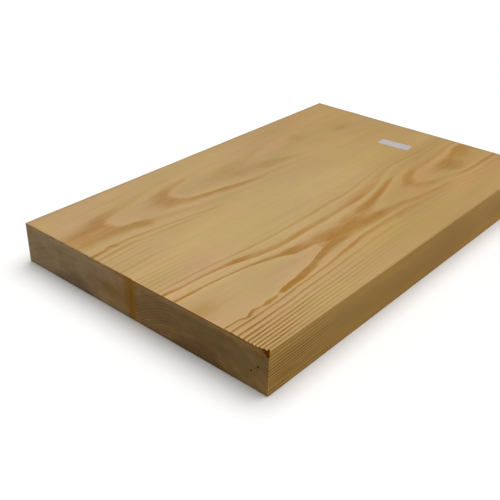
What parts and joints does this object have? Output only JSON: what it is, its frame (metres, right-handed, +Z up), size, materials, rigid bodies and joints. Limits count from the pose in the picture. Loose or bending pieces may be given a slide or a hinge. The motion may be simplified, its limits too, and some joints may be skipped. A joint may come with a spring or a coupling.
{
  "type": "swamp ash slab",
  "caption": "Flat rectangular slab of planed swamp ash, edge-glued from boards of equal width, with a blank paper label on its top face.",
  "frame": {"origin": "middle of the underside, on the glue line", "axes": "+X across the width, towards the edge at the picture's right; +Y along the grain, away from the end grain face that the picture shows; +Z up, through the thickness"},
  "size_m": [0.355, 0.55, 0.0492],
  "materials": {
    "ash_left": "planed, bare flat-sawn ash",
    "ash_right": "planed, bare flat-sawn ash",
    "label_paper": "matt paper"
  },
  "bodies": {
    "root": {"left_board": "ash_left", "right_board": "ash_right", "paper_label": "label_paper"}
  },
  "joints": []
}
